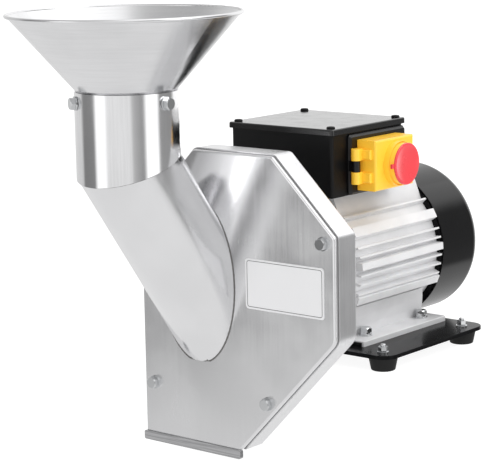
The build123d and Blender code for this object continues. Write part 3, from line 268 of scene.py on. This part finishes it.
def make_finishes():
    """One material for each of the record's material slots."""
    return {
        "satin_stainless": steel("satin_stainless", STAINLESS, 0.21, lines=0.02, bump=0.008,
                                 wave=0.04),
        "bright_stainless": steel("bright_stainless", (0.84, 0.84, 0.85), 0.14, lines=0.03,
                                  cloud=0.02, bump=0.01, streak=0.06),
        "knife_steel": steel("knife_steel", (0.62, 0.62, 0.63), 0.24, grain=(1, 0.05, 1)),
        "zinc_steel": steel("zinc_steel", (0.62, 0.63, 0.64), 0.06, grain=(1, 1, 1), lines=0.02,
                            cloud=0.02),
        "machined_steel": steel("machined_steel", (0.60, 0.60, 0.61), 0.25, grain=(0.1, 2, 0.1)),
        "core_steel": laminated("core_steel", (0.42, 0.42, 0.44)),
        "cast_aluminium": casting("cast_aluminium", (0.84, 0.84, 0.85), 0.22, 0.48, pit=0.10),
        "adapter_aluminium": casting("adapter_aluminium", (0.66, 0.66, 0.67), 0.9, 0.40),
        "black_steel": paint("black_steel", (0.004, 0.004, 0.0045), 0.16, peel=0.05,
                             specular=0.08),
        "black_cowl": paint("black_cowl", (0.002, 0.002, 0.0024), 0.10, peel=0.02,
                            specular=0.31),
        "black_plastic": plastic("black_plastic", (0.0038, 0.0038, 0.0042), 0.42, specular=0.22),
        "lid_plastic": plastic("lid_plastic", (0.004, 0.004, 0.0045), 0.12, grain=0.04,
                               coat=0.35),
        "dark_strip": steel("dark_strip", (0.56, 0.56, 0.57), 0.34, grain=(0.02, 1, 1),
                            streak=0.45),
        "rubber_black": plastic("rubber_black", (0.006, 0.006, 0.006), 0.62, grain=0.25,
                                specular=0.3),
        "gasket_rubber": plastic("gasket_rubber", (0.24, 0.24, 0.24), 0.7),
        "plate_white": plastic("plate_white", (0.80, 0.80, 0.81), 0.35, grain=0.02, fade=0.98),
        # The yellow cover carries a painted warm glow that lightens its shaded sides.
        "switch_yellow": plastic("switch_yellow", (0.98, 0.66, 0.060), 0.28, grain=0.04,
                                 painted_glow=0.18),
        "switch_red": plastic("switch_red", (0.92, 0.060, 0.075), 0.22, grain=0.02, coat=0.5),
        "switch_green": plastic("switch_green", (0.04, 0.42, 0.10), 0.35),
        "capacitor_white": plastic("capacitor_white", (0.80, 0.80, 0.78), 0.4),
        "terminal_grey": plastic("terminal_grey", (0.55, 0.56, 0.56), 0.45),
        "fan_plastic": plastic("fan_plastic", (0.03, 0.03, 0.03), 0.5),
        "winding_copper": enamelled_wire("winding_copper", (0.72, 0.30, 0.12)),
    }


def node_finishes():
    """Finishes of the nodes that differ from the rest of their slot."""
    return {
        "feed_tube": steel("tube_steel", STAINLESS, 0.20, grain=(1, 0.04, 0.04), lines=0.03),
        "hopper": steel("hopper_steel", (0.76, 0.76, 0.77), 0.23, grain=(0.02, 0.02, 1),
                        lines=0.02, cloud=0.02, bump=0.0, streak=0.04),
        "housing_shell": steel("pan_steel", STAINLESS, 0.34, bump=0.05, streak=0.12),
        "housing_cover": steel("cover_steel", STAINLESS, 0.21, lines=0.02, bump=0.003, wave=0.06,
                               cloud=0.05),
        "switch_panel": plastic("panel_plastic", (0.004, 0.004, 0.0045), 0.28, specular=0.4),
    }


def dress_nodes(finishes):
    """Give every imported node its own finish, or else its material slot's."""
    own = node_finishes()
    for part in frame["record"]["subparts"]:
        chosen = own.get(part["node"], finishes[part["material_slot"]])
        for place in frame["nodes"][part["node"]].material_slots:
            place.material = chosen


# ---- added pieces

def mesh_object(name, build, material):
    """Run build(bmesh) and put what it makes into the scene as a smooth object."""
    mesh = bpy.data.meshes.new(name)
    shape = bmesh.new()
    build(shape)
    shape.to_mesh(mesh)
    shape.free()
    for face in mesh.polygons:
        face.use_smooth = True
    made = bpy.data.objects.new(name, mesh)
    bpy.context.scene.collection.objects.link(made)
    made.data.materials.append(material)
    return made


def add_tube(name, path, radii, material, body, sides=8, closed=True):
    """A piece of round tube along a path, one radius for each point, that rides on its body."""
    piece = mesh_object(name, lambda shape: tube_along(shape, path, radii, sides, closed), material)
    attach(piece, body)
    return piece


def tube_along(shape, path, radii, sides, closed):
    """Rings of points round the path, joined up; an open tube is capped at both ends."""
    count = len(path)
    rings = []
    side = None
    for index, point in enumerate(path):
        ahead = path[(index + 1) % count] if closed or index + 1 < count else point
        behind = path[index - 1] if closed or index else point
        way = (ahead - behind).normalized()
        side = way.orthogonal() if side is None else side - side.dot(way) * way
        side.normalize()
        up = way.cross(side)
        ring = []
        for step in range(sides):
            turn = 2 * math.pi * step / sides
            offset = side * math.cos(turn) + up * math.sin(turn)
            ring.append(shape.verts.new(point + offset * radii[index]))
        rings.append(ring)
    for first, second in zip(rings, rings[1:]):
        join_rings(shape, first, second)
    if closed:
        start = min(range(sides), key=lambda step: (rings[-1][0].co - rings[0][step].co).length)
        join_rings(shape, rings[-1], rings[0][start:] + rings[0][:start])
    else:
        shape.faces.new(rings[0])
        shape.faces.new(list(reversed(rings[-1])))
    bmesh.ops.recalc_face_normals(shape, faces=shape.faces)


def join_rings(shape, first, second):
    """A band of four-sided faces between two rings of as many points."""
    for step in range(len(first)):
        after = (step + 1) % len(first)
        shape.faces.new((first[step], first[after], second[after], second[step]))


def outer_loop(points, first, second):
    """The outermost ring of points as seen along the third axis, in order."""
    flat = [(point[first], point[second]) for point in points]
    return [points[index] for index in geometry.convex_hull_2d(flat)]


def node_points(node):
    placed = frame["nodes"][node]
    return [placed.matrix_world @ vertex.co for vertex in placed.data.vertices]


def weld_bead(name, ring, radius, material):
    """A rippled weld along a closed ring of points."""
    radii = [radius * (1 + WELD_RIPPLE * math.sin(index * RIPPLE_TURN))
             for index in range(WELD_STEPS)]
    add_tube(name, even_points(ring, WELD_STEPS), radii, material, "root")


def even_points(ring, count):
    """Points at equal spacing along a closed ring."""
    closed = ring + ring[:1]
    lengths = [(b - a).length for a, b in zip(closed, closed[1:])]
    spacing = sum(lengths) / count
    spread, leg, start = [], 0, 0.0
    for index in range(count):
        while start + lengths[leg] < index * spacing:
            start += lengths[leg]
            leg += 1
        share = (index * spacing - start) / lengths[leg]
        spread.append(closed[leg].lerp(closed[leg + 1], share))
    return spread


def make_welds(material):
    """The slanting tube's weld to the cover and the mitred seam under the upright collar."""
    points = node_points("feed_tube")
    foot_y = max(point.y for point in points) - FOOT_DEPTH
    foot = [point for point in points if point.y > foot_y]
    mitre = [point for point in points if point.y < foot_y]
    weld_bead("tube_weld", outer_loop(foot, 0, 2), TUBE_WELD, material)
    weld_bead("mitre_weld", outer_loop(mitre, 0, 1), MITRE_WELD, material)


def make_plate_border(material):
    """The printed line that runs round the name plate, inside its edge."""
    low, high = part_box("name_plate")
    face = low[1]
    path = []
    for x, z, start in ((high[0], high[2], 0), (low[0], high[2], 90), (low[0], low[2], 180),
                        (high[0], low[2], 270)):
        centre_x = x - math.copysign(BORDER_INSET + BORDER_CORNER, x - (low[0] + high[0]) / 2)
        centre_z = z - math.copysign(BORDER_INSET + BORDER_CORNER, z - (low[2] + high[2]) / 2)
        for step in range(CORNER_STEPS + 1):
            turn = math.radians(start + step * 90 / CORNER_STEPS)
            path.append(Vector((centre_x + BORDER_CORNER * math.cos(turn), face,
                                centre_z + BORDER_CORNER * math.sin(turn))))
    add_tube("plate_border", path, [BORDER_LINE] * len(path), material, "root",
             sides=6)


def make_return_spring(material):
    """The coil round the mushroom's stem, riding on the flap."""
    low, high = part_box("mushroom_spring")
    radius = (high[1] - low[1]) / 2 - SPRING_WIRE
    centre_y, centre_z = (low[1] + high[1]) / 2, (low[2] + high[2]) / 2
    start, run = low[0] + SPRING_WIRE, high[0] - low[0] - 2 * SPRING_WIRE
    steps = round(run / SPRING_PITCH * COIL_STEPS)
    path = []
    for step in range(steps + 1):
        turn = 2 * math.pi * run / SPRING_PITCH * step / steps
        path.append(Vector((start + run * step / steps, centre_y + radius * math.cos(turn),
                            centre_z + radius * math.sin(turn))))
    spring = add_tube("return_spring", path, [SPRING_WIRE] * len(path), material, "flap",
                      closed=False)
    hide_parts("mushroom_spring")
    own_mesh(spring)


# ---- studio

def make_camera():
    """A camera at its measured place; back points from the object to it, up and right across."""
    turn, rise, roll = (math.radians(v) for v in (CAMERA_AZIMUTH, CAMERA_ELEVATION, CAMERA_ROLL))
    back = Vector((math.sin(turn) * math.cos(rise), -math.cos(turn) * math.cos(rise),
                   math.sin(rise)))
    right = Vector((math.cos(turn), math.sin(turn), 0))
    up = back.cross(right)
    across = right * math.cos(roll) + up * math.sin(roll)
    upward = up * math.cos(roll) - right * math.sin(roll)
    data = bpy.data.cameras.new("camera")
    data.lens, data.sensor_width = CAMERA_LENS, CAMERA_SENSOR
    camera = bpy.data.objects.new("camera", data)
    camera.matrix_world = Matrix.LocRotScale(
        CAMERA_PLACE, Matrix((across, upward, back)).transposed(), None)
    bpy.context.scene.collection.objects.link(camera)
    bpy.context.scene.camera = camera


def compass_ramp(tree, share, levels):
    """Brightness round the horizon; share runs 0 to 1 as the direction goes -180 to 180."""
    ramp = tree.add("ShaderNodeValToRGB", {"Fac": share})
    stops = ramp.color_ramp.elements
    while len(stops) < len(levels):
        stops.new(0.5)
    for stop, (degrees, level) in zip(stops, levels):
        stop.position = degrees / 360 + 0.5
        stop.color = grey(level / RAMP_GAIN)
    return ramp.outputs[0]


def make_surround():
    """White backdrop whose reflections are soft boxes and darker gaps round the object."""
    world = bpy.data.worlds.new("studio")
    bpy.context.scene.world = world
    tree = Tree(world)
    way = tree.add("ShaderNodeTexCoord").outputs["Generated"]
    parts = tree.add("ShaderNodeSeparateXYZ", {"Vector": way}).outputs
    compass = tree.maths("ARCTAN2", parts[0], tree.maths("MULTIPLY", parts[1], -1.0))
    share = tree.maths("ADD", tree.maths("DIVIDE", compass, 2 * math.pi), 0.5)
    level = compass_ramp(tree, share, SURROUND)
    for band, levels in ((HIGH_BAND, HIGH), (LOW_BAND, LOW), (GROUND_BAND, GROUND)):
        level = tree.blend(tree.spread(parts[2], *band), level, compass_ramp(tree, share, levels))
    lit = tree.add("ShaderNodeBackground", {"Color": level, "Strength": RAMP_GAIN})
    seen = tree.add("ShaderNodeBackground", {"Color": grey(1.0), "Strength": 1.0})
    direct = tree.add("ShaderNodeLightPath").outputs["Is Camera Ray"]
    mixed = tree.add("ShaderNodeMixShader", {0: direct, 1: lit.outputs[0], 2: seen.outputs[0]})
    tree.add("ShaderNodeOutputWorld", {"Surface": mixed.outputs[0]})


def make_light(name, place, aim, size, power):
    """A round soft lamp at place, turned towards aim."""
    data = bpy.data.lights.new(name, "AREA")
    data.shape, data.size, data.energy = "DISK", size, power
    lamp = bpy.data.objects.new(name, data)
    lamp.location = place
    lamp.rotation_mode = "QUATERNION"
    lamp.rotation_quaternion = (Vector(aim) - Vector(place)).to_track_quat("-Z", "Y")
    bpy.context.scene.collection.objects.link(lamp)


def bench_height(y):
    """Bench top at zero, rounding over to the lower floor in front of its edge."""
    share = (y - BENCH_EDGE_FRONT) / (BENCH_EDGE_BACK - BENCH_EDGE_FRONT)
    share = min(1.0, max(0.0, share))
    return -BENCH_DROP * (1.0 - share * share * (3.0 - 2.0 * share))


def make_bench(material):
    """The pale bench: a top under the feet, a rounded edge, and a floor below the outlet."""
    edge = [BENCH_EDGE_FRONT + (BENCH_EDGE_BACK - BENCH_EDGE_FRONT) * step / BENCH_STEPS
            for step in range(BENCH_STEPS + 1)]

    def build(shape):
        rows = [[shape.verts.new((x, y, bench_height(y))) for x in (-FLOOR_REACH, FLOOR_REACH)]
                for y in (-FLOOR_REACH, *edge, FLOOR_REACH)]
        for near, far in zip(rows, rows[1:]):
            shape.faces.new((near[0], near[1], far[1], far[0]))

    bench = mesh_object("bench", build, material)
    bench.visible_glossy = False


make_camera()
make_surround()
make_light("key_right", KEY_PLACE, KEY_AIM, KEY_SIZE, KEY_POWER)
make_bench(floor_paper())
finishes = make_finishes()
dress_nodes(finishes)
make_welds(steel("weld_steel", (0.20, 0.195, 0.19), 0.36, grain=(1, 1, 1), bump=0.05))
make_plate_border(finishes["black_plastic"])
make_return_spring(finishes["machined_steel"])
bpy.context.scene.view_settings.view_transform = "Standard"
